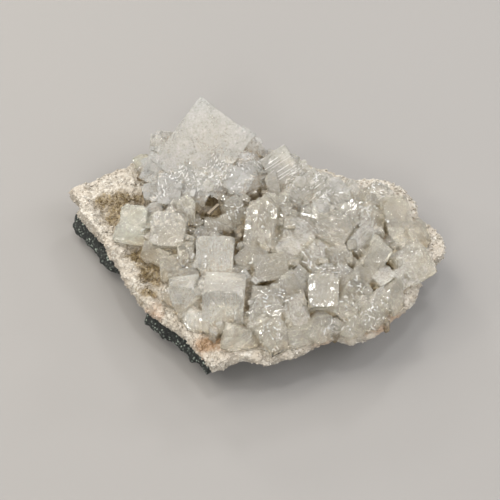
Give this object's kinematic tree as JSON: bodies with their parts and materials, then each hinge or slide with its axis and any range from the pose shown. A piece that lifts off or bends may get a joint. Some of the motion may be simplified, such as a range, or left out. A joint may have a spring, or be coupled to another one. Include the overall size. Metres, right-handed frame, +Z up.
{
  "type": "apophyllite cluster",
  "caption": "Mineral specimen: milky-clear block crystals of apophyllite on a cream sugary crust over a broken piece of dark basalt, resting flat.",
  "frame": {"origin": "middle of the foot of the bounding box, on the surface it rests on", "axes": "+Z up, +X along the slab's length to the right, -Y to the front"},
  "size_m": [0.1466, 0.1176, 0.045],
  "materials": {
    "basalt": "rough broken rock",
    "crust": "sugary, finely crystalline",
    "crystal": "glassy, milky inside"
  },
  "bodies": {
    "root": {"basalt_matrix": "basalt", "drusy_crust": "crust", "large_block_crystal": "crystal", "striated_block_crystals": "crystal", "rear_left_crystal": "crystal", "left_block_crystals": "crystal", "clear_block_crystals": "crystal", "sparkling_crystals": "crystal", "centre_crystals": "crystal", "front_block_crystals": "crystal", "front_edge_crystals": "crystal", "right_front_crystals": "crystal", "leaning_prism_crystal": "crystal", "right_block_crystals": "crystal", "right_edge_crystals": "crystal"}
  },
  "joints": []
}
